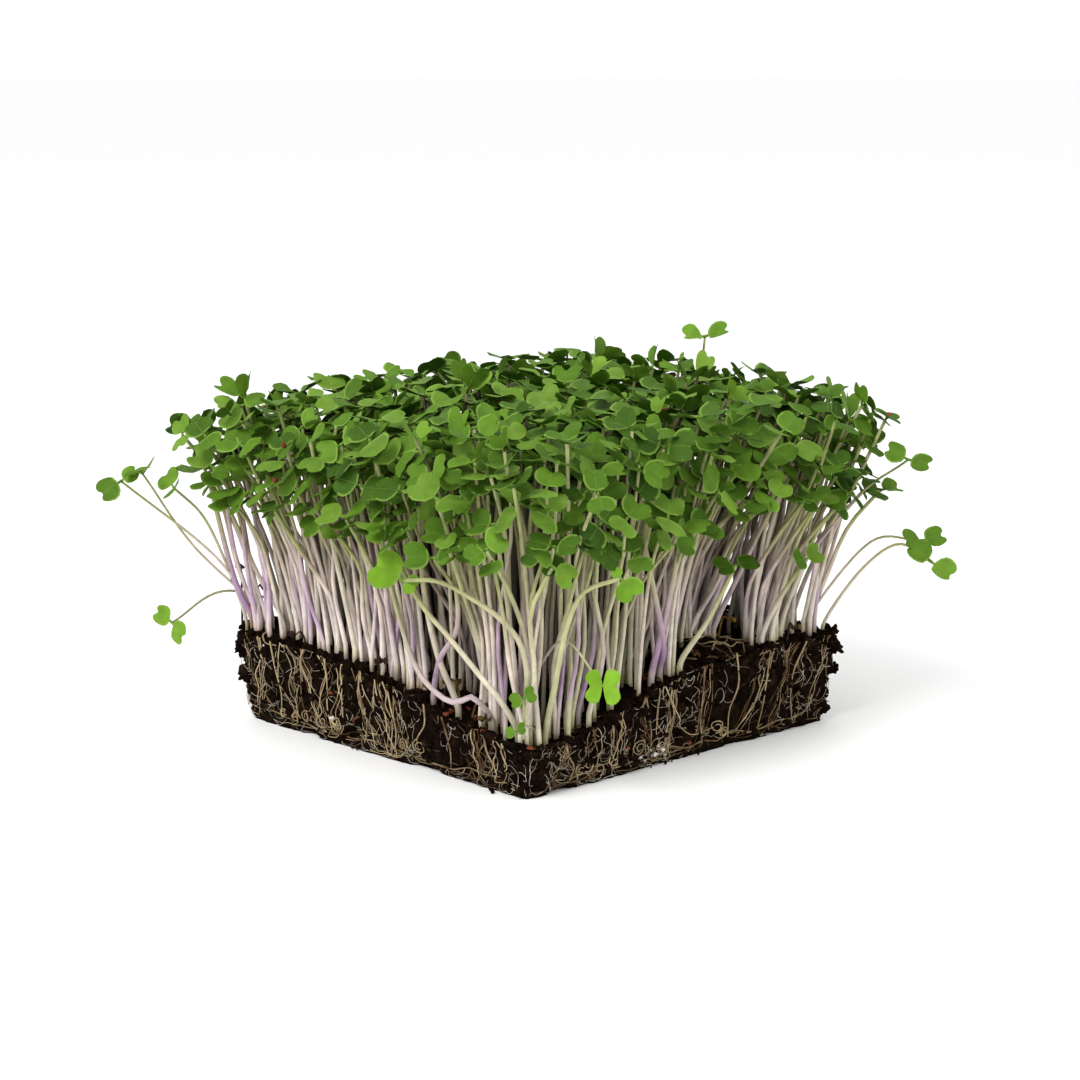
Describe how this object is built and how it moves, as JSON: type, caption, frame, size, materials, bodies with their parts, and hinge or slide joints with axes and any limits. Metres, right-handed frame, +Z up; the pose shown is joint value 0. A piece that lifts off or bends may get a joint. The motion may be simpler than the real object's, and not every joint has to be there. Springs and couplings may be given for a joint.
{
  "type": "block of kale microgreens in growing mix",
  "caption": "Square block of dark growing mix lifted from its tray, with circling roots and a dense stand of pale stems under notched green seed leaves.",
  "frame": {"origin": "middle of the flat underside of the growing mix", "axes": "+Z up, X and Y along the sides of the square block; the slumped front corner of the mix is towards +X and -Y"},
  "size_m": [0.1676, 0.1666, 0.1068],
  "materials": {
    "soil": "matte",
    "stems": "satin",
    "leaves": "satin",
    "roots": "matte"
  },
  "bodies": {
    "root": {"leaves_01_east": "leaves", "leaves_01_west": "leaves", "leaves_02_east": "leaves", "leaves_02_west": "leaves", "leaves_03_east": "leaves", "leaves_03_west": "leaves", "leaves_04_east": "leaves", "leaves_04_west": "leaves", "leaves_05_east": "leaves", "leaves_05_west": "leaves", "leaves_06_east": "leaves", "leaves_06_west": "leaves", "leaves_07_east": "leaves", "leaves_07_west": "leaves", "leaves_08_east": "leaves", "leaves_08_west": "leaves", "leaves_09_east": "leaves", "leaves_09_west": "leaves", "leaves_10_east": "leaves", "leaves_10_west": "leaves", "leaves_11_east": "leaves", "leaves_11_west": "leaves", "leaves_12_east": "leaves", "leaves_12_west": "leaves", "roots_east": "roots", "roots_north": "roots", "roots_south": "roots", "roots_west": "roots", "soil": "soil", "stems_01_east": "stems", "stems_01_west": "stems", "stems_02_east": "stems", "stems_02_west": "stems", "stems_03_east": "stems", "stems_03_west": "stems", "stems_04_east": "stems", "stems_04_west": "stems", "stems_05_east": "stems", "stems_05_west": "stems", "stems_06_east": "stems", "stems_06_west": "stems", "stems_07_east": "stems", "stems_07_west": "stems", "stems_08_east": "stems", "stems_08_west": "stems", "stems_09_east": "stems", "stems_09_west": "stems", "stems_10_east": "stems", "stems_10_west": "stems", "stems_11_east": "stems", "stems_11_west": "stems", "stems_12_east": "stems", "stems_12_west": "stems", "stray_leaves_front_low": "leaves", "stray_leaves_left_high": "leaves", "stray_leaves_left_low": "leaves", "stray_leaves_right_high": "leaves", "stray_leaves_right_low": "leaves", "stray_leaves_top": "leaves"}
  },
  "joints": []
}
